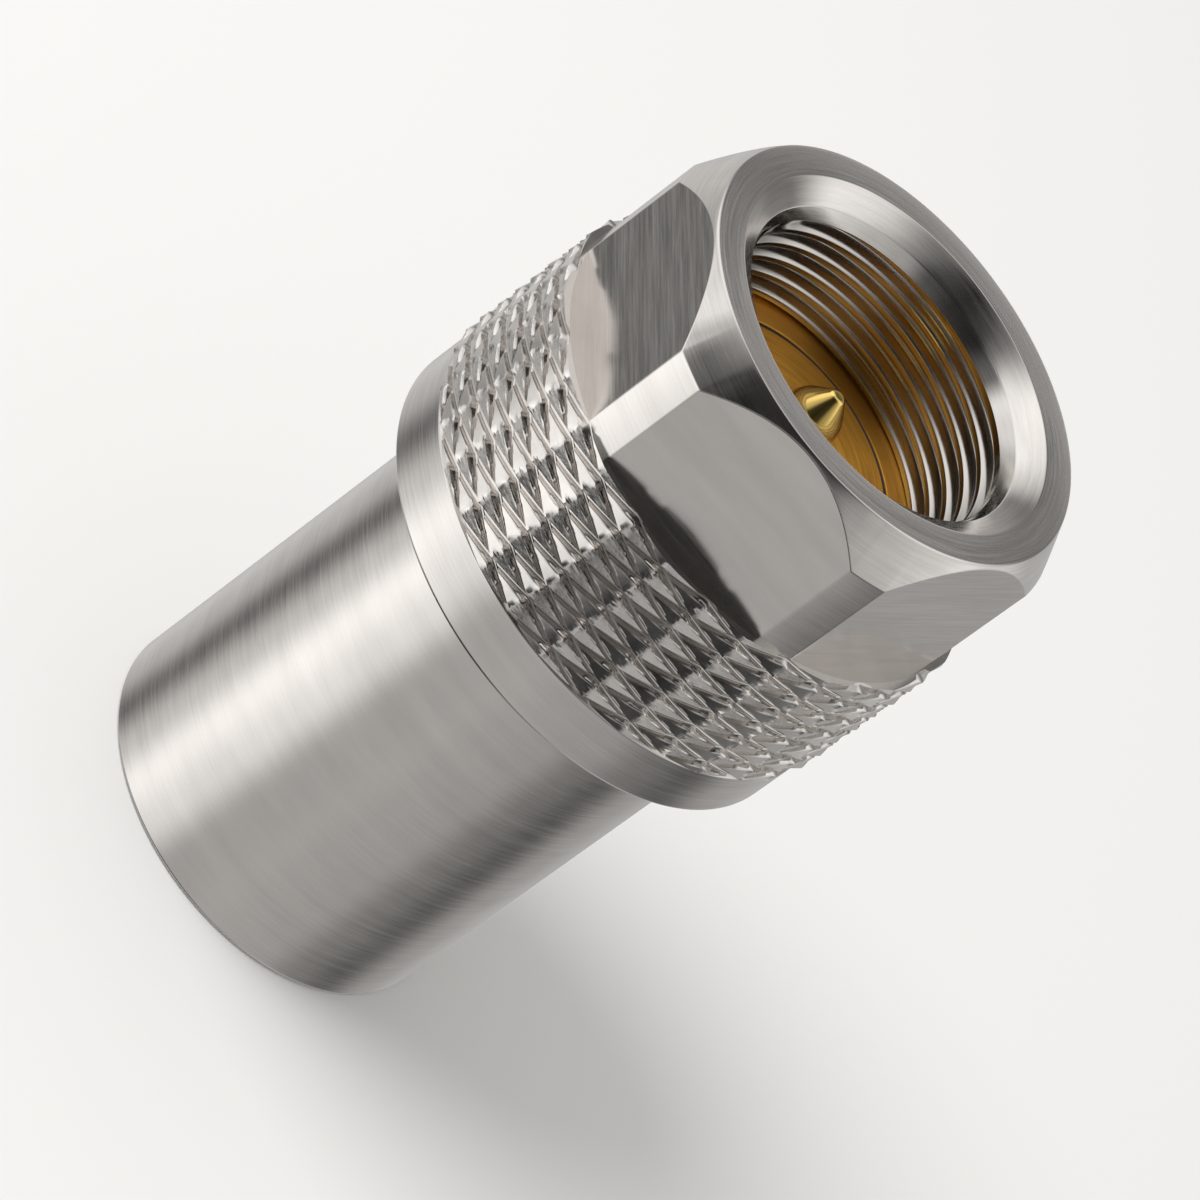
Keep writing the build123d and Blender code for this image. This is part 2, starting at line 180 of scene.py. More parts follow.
MERGE_DISTANCE = 0.0004 * MM    # points closer than this become one
POLE_RADIUS = 0.0001 * MM       # a ring on the axis starts this wide and becomes one point
CORNER_STEPS = 3                # straight steps in a rounded corner
SIDE_SHARE = 0.45               # the most of a side that one rounded corner takes


class RingMesh:
    """A mesh of rings around the axis. Rings may have different numbers of points."""

    def __init__(self):
        self.points = []
        self.faces = []
        self.zones = []

    def ring(self, angles, radius, height):
        """A ring of points; radius and height are numbers or functions of the angle."""
        start = len(self.points)
        for angle in angles:
            r = radius(angle) if callable(radius) else radius
            z = height(angle) if callable(height) else height
            self.points.append((r * math.cos(angle), r * math.sin(angle), z))
        return list(zip(angles, range(start, len(self.points))))

    def face(self, corners, zone):
        """A face, unless too few of its corners differ."""
        kept = [c for k, c in enumerate(corners) if c != corners[k - 1]]
        if len(kept) > 2:
            self.faces.append(kept)
            self.zones.append(zone)

    def join(self, lower, upper, zone):
        """Faces between two rings. The outside is to the right, going from lower to upper."""
        if len(lower) != len(upper):
            self.join_unequal(lower, upper, zone)
            return
        for k in range(len(lower)):
            after = (k + 1) % len(lower)
            self.face([lower[k][1], lower[after][1], upper[after][1], upper[k][1]], zone)

    def join_unequal(self, lower, upper, zone):
        """Triangles between two rings of different angles."""
        i = j = 0
        while i < len(lower) or j < len(upper):
            low, up = lower[i % len(lower)][1], upper[j % len(upper)][1]
            next_low, next_up = lower[(i + 1) % len(lower)], upper[(j + 1) % len(upper)]
            low_angle = next_low[0] + (TURN if i + 1 >= len(lower) else 0)
            up_angle = next_up[0] + (TURN if j + 1 >= len(upper) else 0)
            if j >= len(upper) or (i < len(lower) and low_angle <= up_angle):
                self.face([low, next_low[1], up], zone)
                i += 1
            else:
                self.face([low, next_up[1], up], zone)
                j += 1

    def skin(self, rings, zone):
        """Joins rings, each one to the next."""
        for lower, upper in zip(rings, rings[1:]):
            self.join(lower, upper, zone)

    def build(self, name, materials, sharp_degrees=40):
        """The object, whose zones are the numbers of its materials."""
        mesh = bpy.data.meshes.new(name)
        mesh.from_pydata(self.points, [], self.faces)
        for material in materials:
            mesh.materials.append(material)
        mesh.polygons.foreach_set("material_index", self.zones)
        cleaned = bmesh.new()
        cleaned.from_mesh(mesh)
        bmesh.ops.remove_doubles(cleaned, verts=cleaned.verts, dist=MERGE_DISTANCE)
        cleaned.to_mesh(mesh)
        cleaned.free()
        mesh.polygons.foreach_set("use_smooth", [True] * len(mesh.polygons))
        mesh.set_sharp_from_angle(angle=math.radians(sharp_degrees))
        piece = bpy.data.objects.new(name, mesh)
        bpy.context.scene.collection.objects.link(piece)
        # Large faces keep their own normal, and the shade turns only in the small edges
        weighted = piece.modifiers.new("weighted_normals", "WEIGHTED_NORMAL")
        weighted.keep_sharp = True
        weighted.weight = 95
        return piece


def even_angles(count):
    """Angles of evenly spaced points around the axis."""
    return [TURN * k / count for k in range(count)]


def eased(outline, radius, closed=False, steps=CORNER_STEPS):
    """An outline of (radius, height) corners with each corner rounded by a small arc."""
    result = []
    count = len(outline)
    for k, here in enumerate(outline):
        if not closed and k in (0, count - 1):
            result.append(here)
            continue
        point = Vector(here)
        before = Vector(outline[k - 1]) - point
        after = Vector(outline[(k + 1) % count]) - point
        reach = min(radius, before.length * SIDE_SHARE, after.length * SIDE_SHARE)
        first = point + before.normalized() * reach
        last = point + after.normalized() * reach
        for step in range(steps + 1):
            t = step / steps
            bend = first * (1 - t) ** 2 + point * 2 * t * (1 - t) + last * t ** 2
            result.append((bend.x, bend.y))
    return result


def turned_piece(name, outline, edge, materials, zone_of=None, steps=256):
    """A turned solid from a closed outline of (radius, height) corners, anticlockwise.

    zone_of gives the zone of the surface between one corner and the next.
    """
    shape = RingMesh()
    angles = even_angles(steps)
    corners = eased(outline, edge, closed=True)
    rings = [shape.ring(angles, r, z) for r, z in corners]
    for k, (lower, upper) in enumerate(zip(rings, rings[1:] + rings[:1])):
        zone = zone_of(corners[k], corners[(k + 1) % len(corners)]) if zone_of else 0
        shape.join(lower, upper, zone)
    return shape.build(name, materials)


def place(piece, body, node, slot_name):
    """The piece moves with its body, and the solid of that name is hidden."""
    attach(piece, body)
    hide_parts(node)


# Materials

NOISE_LOW = 0.3     # most values of a noise lie between these two
NOISE_HIGH = 0.7


class Finish:
    """A material whose nodes are added and linked by short calls."""

    def __init__(self, name, base, metallic, roughness):
        self.material = bpy.data.materials.new(name)
        self.material.use_nodes = True
        self.tree = self.material.node_tree
        self.shader = self.tree.nodes["Principled BSDF"]
        self.shader.inputs["Base Color"].default_value = (*base, 1)
        self.shader.inputs["Metallic"].default_value = metallic
        self.shader.inputs["Roughness"].default_value = roughness
        self.material.diffuse_color = (*base, 1)

    def add(self, kind, **settings):
        node = self.tree.nodes.new(kind)
        for key, value in settings.items():
            setattr(node, key, value)
        return node

    def link(self, source, target):
        self.tree.links.new(source, target)

    def math(self, operation, *values):
        """The result of an operation on numbers and on other nodes' results."""
        node = self.add("ShaderNodeMath", operation=operation)
        for k, value in enumerate(values):
            if isinstance(value, (int, float)):
                node.inputs[k].default_value = value
            else:
                self.link(value, node.inputs[k])
        return node.outputs[0]

    def spot(self):
        """The place on the object, which turns with it."""
        return self.add("ShaderNodeTexCoord").outputs["Object"]

    def around(self, fine, stretch, along="z"):
        """Coordinates that are long around the axis, and fine along it or outwards from it."""
        parts = self.add("ShaderNodeSeparateXYZ")
        self.link(self.spot(), parts.inputs[0])
        x, y, z = parts.outputs
        radius = self.math("SQRT", self.math("ADD", self.math("MULTIPLY", x, x),
                                             self.math("MULTIPLY", y, y)))
        combined = self.add("ShaderNodeCombineXYZ")
        for k, part in enumerate((x, y)):
            turned = self.math("MULTIPLY", self.math("DIVIDE", part, radius), stretch)
            self.link(turned, combined.inputs[k])
        depth = {"z": z, "r": radius, "both": self.math("ADD", z, radius)}[along]
        self.link(self.math("MULTIPLY", depth, fine), combined.inputs[2])
        return combined.outputs[0]

    def noise(self, vector, scale=1.0, detail=3.0, roughness=0.6):
        """Soft random patches, from 0 to 1."""
        node = self.add("ShaderNodeTexNoise")
        node.inputs["Scale"].default_value = scale
        node.inputs["Detail"].default_value = detail
        node.inputs["Roughness"].default_value = roughness
        self.link(vector, node.inputs["Vector"])
        return node.outputs["Fac"]

    def ramp(self, factor, stops):
        """Colours between stops of (place, colour)."""
        node = self.add("ShaderNodeValToRGB")
        elements = node.color_ramp.elements
        while len(elements) < len(stops):
            elements.new(0.5)
        for element, (position, tint) in zip(elements, stops):
            element.position = position
            element.color = (*tint, 1)
        self.link(factor, node.inputs["Fac"])
        return node.outputs["Color"]

    def spread(self, factor, low, high):
        """Maps a noise onto a range."""
        node = self.add("ShaderNodeMapRange")
        node.inputs["From Min"].default_value = NOISE_LOW
        node.inputs["From Max"].default_value = NOISE_HIGH
        node.inputs["To Min"].default_value = low
        node.inputs["To Max"].default_value = high
        self.link(factor, node.inputs["Value"])
        return node.outputs["Result"]

    def bump(self, height, distance, strength=1.0):
        """Fine relief on the surface, over what is there already."""
        node = self.add("ShaderNodeBump")
        node.inputs["Strength"].default_value = strength
        node.inputs["Distance"].default_value = distance
        self.link(height, node.inputs["Height"])
        normal = self.shader.inputs["Normal"]
        if normal.is_linked:
            self.link(normal.links[0].from_socket, node.inputs["Normal"])
        self.link(node.outputs["Normal"], normal)

    def drawn_out(self, amount):
        """Turned marks draw the gloss out across them."""
        self.shader.inputs["Anisotropic"].default_value = amount
        self.shader.inputs["Anisotropic Rotation"].default_value = 0.25
        tangent = self.add("ShaderNodeTangent", direction_type="RADIAL", axis="Z")
        self.link(tangent.outputs[0], self.shader.inputs["Tangent"])

    def tinted(self, factor, base, share):
        """The base colour, a little darker and lighter with the factor."""
        dark = tuple(c * (1 - share) for c in base)
        light = tuple(min(1, c * (1 + share)) for c in base)
        tint = self.ramp(factor, [(NOISE_LOW, dark), (NOISE_HIGH, light)])
        self.link(tint, self.shader.inputs["Base Color"])


def turned_metal(name, base, roughness, marks, along="z", depth=0.0010, drawn=0.6, share=0.14):
    """Metal with fine marks around the axis: marks per metre, depth in millimetres.

    The gloss is drawn out by an amount from 0 to 1, and the tint varies by a share.
    """
    finish = Finish(name, base, 1.0, roughness)
    fine = finish.noise(finish.around(marks, 2.4, along), detail=4.0, roughness=0.7)
    broad = finish.noise(finish.around(marks * 0.1, 1.4, along), detail=2.0)
    fine_share = 0.6
    both = finish.math("ADD", finish.math("MULTIPLY", fine, fine_share),
                       finish.math("MULTIPLY", broad, 1 - fine_share))
    finish.tinted(both, base, share)
    rough = finish.spread(fine, roughness * 0.8, roughness * 1.25)
    finish.link(rough, finish.shader.inputs["Roughness"])
    finish.bump(fine, depth * MM)
    finish.drawn_out(drawn)
    return finish.material


def pressed_metal(name, base, roughness, grain, depth):
    """Pressed steel with a hammered grain: grain per metre, depth in millimetres."""
    finish = Finish(name, base, 1.0, roughness)
    patches = finish.noise(finish.spot(), grain * 0.2, 3.0)
    grit = finish.noise(finish.spot(), grain, 4.0, 0.7)
    finish.tinted(patches, base, 0.12)
    rough = finish.spread(patches, roughness * 0.8, roughness * 1.3)
    finish.link(rough, finish.shader.inputs["Roughness"])
    finish.bump(grit, depth * MM)
    finish.bump(patches, 3 * depth * MM)
    return finish.material


def grained(name, base, metallic, roughness, grain, depth, share=0.08):
    """A finish with a fine even grain: grain per metre, depth in millimetres."""
    finish = Finish(name, base, metallic, roughness)
    grains = finish.noise(finish.spot(), grain, 3.0)
    finish.tinted(grains, base, share)
    rough = finish.spread(grains, roughness * 0.85, min(1.0, roughness * 1.15))
    finish.link(rough, finish.shader.inputs["Roughness"])
    finish.bump(grains, depth * MM)
    return finish.material


# Knurl

def soft_min(a, b, width):
    """The lower of two values, with the edge between them rounded."""
    gap = max(0.0, width - abs(a - b))
    return min(a, b) - gap * gap / (4 * width)


class Knurl:
    """A lattice of half columns and half rows, with a long diamond on every second point.

    Flat grooves run between the diamonds. A torn edge crosses the middle of each diamond, and
    from there a smooth half and a lower, rough half fall to the two tips. Heights are shares of
    the knurl's height, and widths are shares of half a diamond.
    """
    steps = 11                    # grid lines in half a diamond
    floor = 0.17                  # half the width of a groove's flat floor
    wall = 5.2                    # how steeply a groove's wall rises
    edge = 0.05                   # rounding between a wall and a half's face
    top = 0.99                    # no diamond is higher than this
    lowest = 0.92                 # height of the lowest diamond beside the tallest
    bend = 1.1                    # how hollow a half is along its length
    smooth_tip = 0.36             # height of the smooth half at its tip
    smooth_rise = 0.44            # its rise from there to the torn edge
    smooth_lean = 0.21            # how it leans to the front
    rough_tip = 0.32              # the same for the rough half, which leans to the rear
    rough_rise = 0.40
    rough_lean = 0.20
    rough_margin = 0.28           # the rough finish keeps this far from a groove's middle
    tear_shift = 0.05             # how far a torn edge may lie from the diamond's middle
    tear_wander = 0.07            # how far it wanders along its length
    tear_waves = 3.1              # how often it does
    tear_apart = (5.3, 2.9)       # steps through the noise from column to column and row to row
    tear_reach = 0.14             # the faces are rougher up to this far from the torn edge
    tear_grit = 3                 # and at most this many times rougher
    grit = 0.010                  # roughness of the rough half
    grain_fine = (9.1, 5.2)       # how fine that roughness is around the nut and along it
    grain_apart = 3.7             # step through its noise from row to row
    grain_slice = 0.5             # where the noise is cut
    grain_layers = (0.8, 2.1, 3)  # fall, spacing and number of its finer layers
    seed = 5                      # of the differences between the diamonds

    def __init__(self, columns, rows, height):
        self.columns = 2 * columns
        self.rows = 2 * rows
        self.height = height
        dice = random.Random(self.seed)
        shift = self.tear_shift
        self.vary = {
            (column, row): (dice.uniform(self.lowest, 1.0), dice.uniform(-shift, shift))
            for column in range(self.columns) for row in range(self.rows + 1)
        }

    def torn_edge(self, column, row, b, shift):
        """Where the torn edge crosses one diamond, at a place b along it."""
        apart_column, apart_row = self.tear_apart
        place = Vector((b * self.tear_waves, column * apart_column, row * apart_row))
        return shift + self.tear_wander * noise.noise(place)

    def grain(self, column, row, a, b):
        """Unevenness of the metal at a place of one diamond, about -1 to 1."""
        around, along = self.grain_fine
        place = Vector((column + a * around, row * self.grain_apart + b * along, self.grain_slice))
        return noise.fractal(place, *self.grain_layers)

    def diamond(self, column, row, a, b, tallness, shift):
        """Height of one diamond, where a runs around the nut and b to the front, -1 to 1."""
        inside = 1 - abs(a) - abs(b)
        if inside <= self.floor:
            return 0.0
        rise = (1 - abs(a)) ** self.bend
        near_tear = max(0.0, 1 - abs(a - shift) / self.tear_reach)
        if a < self.torn_edge(column, row, b, shift):
            face = self.smooth_tip + self.smooth_rise * rise - self.smooth_lean * b
            rough = near_tear * self.grit * self.tear_grit
        else:
            face = self.rough_tip + self.rough_rise * rise + self.rough_lean * b
            rough = self.grit * (1 + (self.tear_grit - 1) * near_tear)
        uneven = (face + rough * self.grain(column, row, a, b)) * tallness
        return soft_min(self.wall * (inside - self.floor), uneven, self.edge)

    def nearest(self, column, row):
        """The diamonds around a place of the lattice, and the place inside each of them."""
        for c in (math.floor(column), math.floor(column) + 1):
            for r in (math.floor(row), math.floor(row) + 1):
                if (c + r) % 2 == 0 and 0 <= r <= self.rows:
                    yield c % self.columns, r, column - c, row - r

    def lift(self, column, row):
        """Height at a place of the lattice, as a share of the whole."""
        heights = [
            self.diamond(*found, *self.vary[found[:2]]) for found in self.nearest(column, row)
        ]
        return min(self.top, max(0.0, *heights))

    def is_rough(self, column, row):
        """Whether a place lies on a rough half."""
        return any(
            a > self.vary[c, r][1] and 1 - abs(a) - abs(b) > self.rough_margin
            for c, r, a, b in self.nearest(column, row)
        )

    def rings(self, shape, root, rear, span):
        """The knurl's rings of points, from the collar to the shoulder."""
        steps = self.steps
        angles = even_angles(self.columns * steps)
        rings = []
        for j in range(self.rows * steps + 1):
            z = rear + span * j / (self.rows * steps)
            start = len(shape.points)
            for i, angle in enumerate(angles):
                r = root + self.height * self.lift(i / steps, j / steps)
                shape.points.append((r * math.cos(angle), r * math.sin(angle), z))
            rings.append(list(zip(angles, range(start, len(shape.points)))))
        return rings

    def join(self, shape, rings, smooth, rough):
        """Splits each square of the grid along the groove that crosses it."""
        steps = self.steps
        for j, (lower, upper) in enumerate(zip(rings, rings[1:])):
            row = j // steps
            for i in range(len(lower)):
                column = i // steps
                after = (i + 1) % len(lower)
                a, b = lower[i][1], lower[after][1]
                c, d = upper[after][1], upper[i][1]
                zone = rough if self.is_rough((i + 0.5) / steps, (j + 0.5) / steps) else smooth
                if (column + row) % 2 == 0:
                    shape.face([a, b, d], zone)
                    shape.face([b, c, d], zone)
                else:
                    shape.face([a, b, c], zone)
                    shape.face([a, c, d], zone)


# Thread

# One pitch of the thread, in shares of its pitch and of its depth
THREAD_SECTION = (
    (0.000, 1.000), (0.050, 1.000), (0.085, 0.950), (0.215, 0.535), (0.335, 0.095),
    (0.365, 0.025), (0.400, 0.000), (0.500, 0.000), (0.600, 0.000), (0.635, 0.025),
    (0.665, 0.095), (0.785, 0.535), (0.915, 0.950), (0.950, 1.000),
)
THREAD_FADE = 0.06      # share of a pitch in which the last groove ends
THREAD_STEPS = 200      # points around the thread


def thread_depth(phase):
    """Share of the thread's depth at a place along one pitch, from 0 to 1."""
    phase %= 1
    stops = (*THREAD_SECTION, (1.0, 1.0))
    (p0, d0), (p1, d1) = next(pair for pair in zip(stops, stops[1:]) if phase <= pair[1][0])
    return d0 + (d1 - d0) * (phase - p0) / (p1 - p0)


def thread_rings(shape, thread, rear, front, zone):
    """The helical thread. Its grid follows the helix, and its two ends are cut square."""
    angles = even_angles(THREAD_STEPS)
    phases = [phase for phase, depth in THREAD_SECTION]

    def add(z, angle):
        turns = (z - rear) / thread.pitch - (angle - thread.start) / TURN
        middle = rear + (round(turns) + (angle - thread.start) / TURN) * thread.pitch
        # The last groove ends behind the small countersink
        left = min(1, max(0, (front - thread.run_out - middle) / (THREAD_FADE * thread.pitch)))
        r = thread.crest_radius + thread.depth * thread_depth(turns) * left
        shape.points.append((r * math.cos(angle), r * math.sin(angle), z))
        return len(shape.points) - 1

    low_ring = [add(rear, angle) for angle in angles]
    high_ring = [add(front, angle) for angle in angles]
    turns = math.ceil((front - rear) / thread.pitch) + 2
    near = 0.001 * MM       # a point this near to an end becomes that end's point
    grid = []
    for angle, low, high in zip(angles, low_ring, high_ring):
        line = []
        for turn in range(turns + 1):
            for phase in phases:
                z = rear + (turn - 1 + phase + (angle - thread.start) / TURN) * thread.pitch
                if z < rear + near:
                    line.append(low)
                elif z > front - near:
                    line.append(high)
                else:
                    line.append(add(z, angle))
        grid.append(line)
    # The last line meets the first one a whole turn further along the helix
    per_turn = len(phases)
    grid.append(grid[0][per_turn:] + [high_ring[0]] * per_turn)
    for here, after in zip(grid, grid[1:]):
        for j in range(len(here) - 1):
            shape.face([here[j], here[j + 1], after[j + 1], after[j]], zone)
    return list(zip(angles, low_ring)), list(zip(angles, high_ring))


# Coupling nut

# The nut's zones, in the order of its materials
COLLAR, SMOOTH, ROUGH, FLAT, BEVEL, FACE, THREAD = range(7)
FLAT_STEPS = 26     # faces across a wrench flat
STRIP_STEPS = 12    # faces across the round strip between two flats
BEVEL_STEPS = 4     # steps of the small arc between a flat and the bevel
EDGE_PLACES = (-1.6, -0.6, 0.0, 0.6, 1.6)   # points across a flat's edge, in rounding radii


def between(start, end, steps):
    """Evenly spaced values from one to another, without those two."""
    return [start + k * (end - start) / steps for k in range(1, steps)]


def hex_angles(corner, ease):
    """Angles around the hexagon, closer together at both sides of its edges."""
    half = math.pi / 6
    rear_edge = [-corner + k * ease for k in EDGE_PLACES]
    front_edge = [corner + k * ease for k in EDGE_PLACES]
    flat = between(rear_edge[-1], front_edge[0], FLAT_STEPS)
    strip = between(front_edge[-1], 2 * half - corner - EDGE_PLACES[-1] * ease, STRIP_STEPS)
    offsets = [*rear_edge, *flat, *front_edge, *strip]
    return sorted(
        (-math.pi / 2 + number * 2 * half + offset) % TURN
        for number in range(6) for offset in offsets
    )


class CouplingNut:
    """The nut's radii and heights, and its surface, made of rings.

    The surface runs from the rear bore round the outside to the front face, and back along the
    thread. Its stretches are made in that order, each from the last ring of the one before.
    """

    def __init__(self, sizes, thread):
        self.sizes = sizes
        self.thread = thread
        self.rear = nut_low.z
        self.front = nut_high.z
        self.blank = nut_high.x - sizes.knurl_height
        self.collar = nut_high.x - sizes.collar_drop
        self.knurl_rear = self.rear + sizes.collar_length
        self.apothem = self.blank - sizes.flat_depth
        self.face = self.blank - sizes.bevel_width
        self.bore = body_high.x + sizes.bore_clearance
        self.stop = body_high.z + sizes.axial_play
        self.mouth_inner = self.front - thread.mouth_depth
        self.mouth_foot = self.mouth_inner - thread.step_depth
        self.slope = Vector((-sizes.bevel_width, sizes.bevel_length)).normalized()
        self.shape = RingMesh()
        self.knurl = Knurl(sizes.knurl_columns, sizes.knurl_rows, sizes.knurl_height)
        self.round_angles = even_angles(self.knurl.columns * self.knurl.steps)
        corner = math.acos(self.apothem / self.blank)
        self.hexagon_angles = hex_angles(corner, sizes.edge_radius / self.blank)

    def rear_end(self):
        """Rear bore with the snap ring's groove, rear face and collar: first and last ring."""
        edge, chamfer, play = self.sizes.edge_radius, self.sizes.edge_break, self.sizes.groove_play
        groove = snap_high.x + play
        outline = eased([
            (self.bore, self.stop - edge),
            (self.bore, snap_high.z + play),
            (groove, snap_high.z + play),
            (groove, snap_low.z - play),
            (self.bore, snap_low.z - play),
            (self.bore, self.rear + chamfer),
            (self.bore + chamfer, self.rear),
            (self.collar - chamfer, self.rear),
            (self.collar, self.rear + chamfer),
            (self.collar, self.knurl_rear - chamfer),
            (self.blank, self.knurl_rear),
        ], edge)
        rings = [self.shape.ring(self.round_angles, r, z) for r, z in outline]
        self.shape.skin(rings, COLLAR)
        return rings[0], rings[-1]

    def knurled_band(self, last):
        """The knurl, between the collar and the shoulder."""
        band = self.knurl.rings(self.shape, self.blank, self.knurl_rear, self.sizes.knurl_length)
        self.shape.join(last, band[0], COLLAR)
        self.knurl.join(self.shape, band, SMOOTH, ROUGH)
        return band[-1]

    def hexagon(self, angle):
        """Radius of the wrench flats and of the round strips between them."""
        off = (angle + math.pi / 2 + math.pi / 6) % (math.pi / 3) - math.pi / 6
        return soft_min(self.apothem / math.cos(off), self.blank, self.sizes.edge_radius / 2)

    def bevel_foot(self, angle):
        """Height at which the front bevel meets a flat or a strip."""
        return self.front + (self.hexagon(angle) - self.face) * self.slope.y / self.slope.x

    def wrench_flats(self, last):
        """Shoulder, flats, and the small arc between the flats and the front bevel."""
        edge, slope = self.sizes.edge_radius, self.slope
        shoulder = self.knurl_rear + self.sizes.knurl_length
        shoulder_ring = self.shape.ring(self.round_angles, self.blank, shoulder)
        self.shape.join(last, shoulder_ring, COLLAR)
        last = self.shape.ring(self.hexagon_angles, self.hexagon, shoulder)
        # The shoulder takes the thread's darker steel, which is painted shade
        self.shape.join(shoulder_ring, last, THREAD)
        for step in range(BEVEL_STEPS + 1):
            t = step / BEVEL_STEPS
            ring = self.shape.ring(
                self.hexagon_angles,
                lambda a, t=t: self.hexagon(a) + t * t * edge * slope.x,
                lambda a, t=t: self.bevel_foot(a) - (1 - t) ** 2 * edge + t * t * edge * slope.y,
            )
            self.shape.join(last, ring, FLAT if step == 0 else BEVEL)
            last = ring
        return last

    def front_end(self, last):
        """Front bevel, front face and the mouth's two countersinks."""
        crest = self.thread.crest_radius
        on_bevel = (self.face - self.slope.x * MM, self.front - self.slope.y * MM)
        outer_corner = (self.face, self.front)
        inner_corner = (crest + self.thread.mouth_width, self.front)
        mouth = [(crest + self.thread.step_width, self.mouth_inner), (crest, self.mouth_foot)]
        mouth_edge = self.sizes.edge_radius * 0.8
        outer = eased([on_bevel, outer_corner, inner_corner], self.sizes.rim_radius)[1:-1]
        inner = eased([outer_corner, inner_corner, *mouth], mouth_edge)[1:]
        for k, (r, z) in enumerate([*outer, *inner]):
            angles = self.hexagon_angles if k < len(outer) else self.round_angles
            ring = self.shape.ring(angles, r, z)
            self.shape.join(last, ring, FACE if k == len(outer) else BEVEL)
            last = ring
        return last

    def threaded_bore(self, last, first):
        """Thread, the relief behind it and the step that meets the body, up to the first ring."""
        thread, edge = self.thread, self.sizes.edge_radius
        rear = contact_high.z + self.sizes.bore_clearance
        low_ring, high_ring = thread_rings(self.shape, thread, rear, self.mouth_foot, THREAD)
        self.shape.join(last, high_ring, THREAD)
        relief = thread.crest_radius + thread.relief_depth
        end = eased([
            (thread.crest_radius + thread.depth, rear),
            (relief, rear),
            (relief, self.stop),
            (self.bore, self.stop),
            (self.bore, self.stop - edge),
        ], edge / 2)[1:-1]
        last = low_ring
        for r, z in end:
            ring = self.shape.ring(self.round_angles, r, z)
            self.shape.join(last, ring, COLLAR)
            last = ring
        self.shape.join(last, first, COLLAR)


def nut_materials(colours):
    """One material for each zone of the nut."""
    steel = colours.steel
    return [
        turned_metal("collar_steel", steel, 0.20, 9000),
        pressed_metal("knurl_smooth_steel", steel, 0.15, 3000, 0.002),
        pressed_metal("knurl_rough_steel", steel, 0.26, 6500, 0.009),
        turned_metal("flat_steel", steel, 0.21, 7000, drawn=0.4),
        turned_metal("bevel_steel", steel, 0.14, 9000),
        turned_metal("face_steel", steel, 0.26, 11000, along="r", drawn=0.8),
        # The thread and the shoulder get the darker steel, which is painted shade of the bore and
        # of the corner
        turned_metal("thread_painted_shade_steel", colours.painted_shade_steel, 0.15, 9000, drawn=0.3),
    ]


def build_nut(settings):
    """The coupling nut as one closed mesh."""
    nut = CouplingNut(settings.nut, settings.thread)
    first, last = nut.rear_end()
    last = nut.knurled_band(last)
    last = nut.wrench_flats(last)
    last = nut.front_end(last)
    nut.threaded_bore(last, first)
    piece = nut.shape.build("coupling_nut_finish", nut_materials(settings.colours))
    place(piece, "nut", "coupling_nut", "nut_steel")


# Body and mating end

PIN_STEPS = 128     # points around the pin


def build_body(settings):
    """The body's tube, plain outside, with the two grooves that the nut covers."""
    sizes, nut, steel = settings.housing, settings.nut, settings.colours.steel
    outer, bore = body_high.x, sleeve_high.x + sizes.fitted_gap
    rear, front, chamfer = body_low.z, body_high.z, sizes.edge_break
    seal_floor = nut_seal_high.x - (nut_seal_high.z - nut_seal_low.z) - sizes.fitted_gap
    seal_rear, seal_front = nut_seal_low.z - sizes.seal_room, nut_seal_high.z + sizes.seal_room
    snap_floor = outer - nut.ring_inside - nut.groove_room
    snap_rear, snap_front = snap_low.z - nut.groove_play, snap_high.z + nut.groove_play
    materials = [
        turned_metal("body_steel", steel, 0.20, 8000, share=0.12),
        turned_metal("body_end_steel", steel, 0.26, 11000, along="r"),
    ]
    tube, end = range(len(materials))
    outline = [
        (bore, rear + chamfer),
        (bore + chamfer, rear),
        (outer - chamfer, rear),
        (outer, rear + chamfer),
        (outer, seal_rear),
        (seal_floor, seal_rear),
        (seal_floor, seal_front),
        (outer, seal_front),
        (outer, snap_rear),
        (snap_floor, snap_rear),
        (snap_floor, snap_front),
        (outer, snap_front),
        (outer, front - chamfer),
        (outer - chamfer, front),
        (bore, front),
    ]
    body = turned_piece(
        "body_finish", outline, sizes.edge_radius, materials,
        zone_of=lambda here, there: end if here[1] == there[1] == rear else tube,
    )
    place(body, "housing", "body_shell", "body_steel")


def build_contact(settings):
    """The gold outer contact, whose front face is the floor of the nut's mouth."""
    sizes, colours = settings.housing, settings.colours
    flange, face, rear = contact_high.x, contact_high.z, contact_low.z
    seat = bead_seal_high.x + sizes.fitted_gap
    pilot = pilot_seal_high.x
    seal_floor = pilot - (pilot_seal_high.z - pilot_seal_low.z) - sizes.fitted_gap
    seal_rear = pilot_seal_low.z - sizes.seal_room
    seal_front = pilot_seal_high.z + sizes.seal_room
    chamfer = sizes.edge_break
    materials = [turned_metal(
        "contact_gold", colours.gold, 0.36, 9000, along="r", depth=0.0004, drawn=0.88, share=0.06
    )]
    outline = [
        (sizes.line_radius, rear),
        (pilot - chamfer, rear),
        (pilot, rear + chamfer),
        (pilot, seal_rear),
        (seal_floor, seal_rear),
        (seal_floor, seal_front),
        (pilot, seal_front),
        (pilot, body_high.z),
        (flange, body_high.z),
        (flange, face - chamfer),
        (flange - chamfer, face),
        (seat + sizes.seam_bevel, face),
        (seat, face - sizes.seam_bevel),
        (seat, bead_low.z),
        (sizes.line_radius, bead_low.z),
    ]
    contact = turned_piece("outer_contact_finish", outline, sizes.edge_radius / 2, materials)
    place(contact, "housing", "outer_contact", "contact_gold")


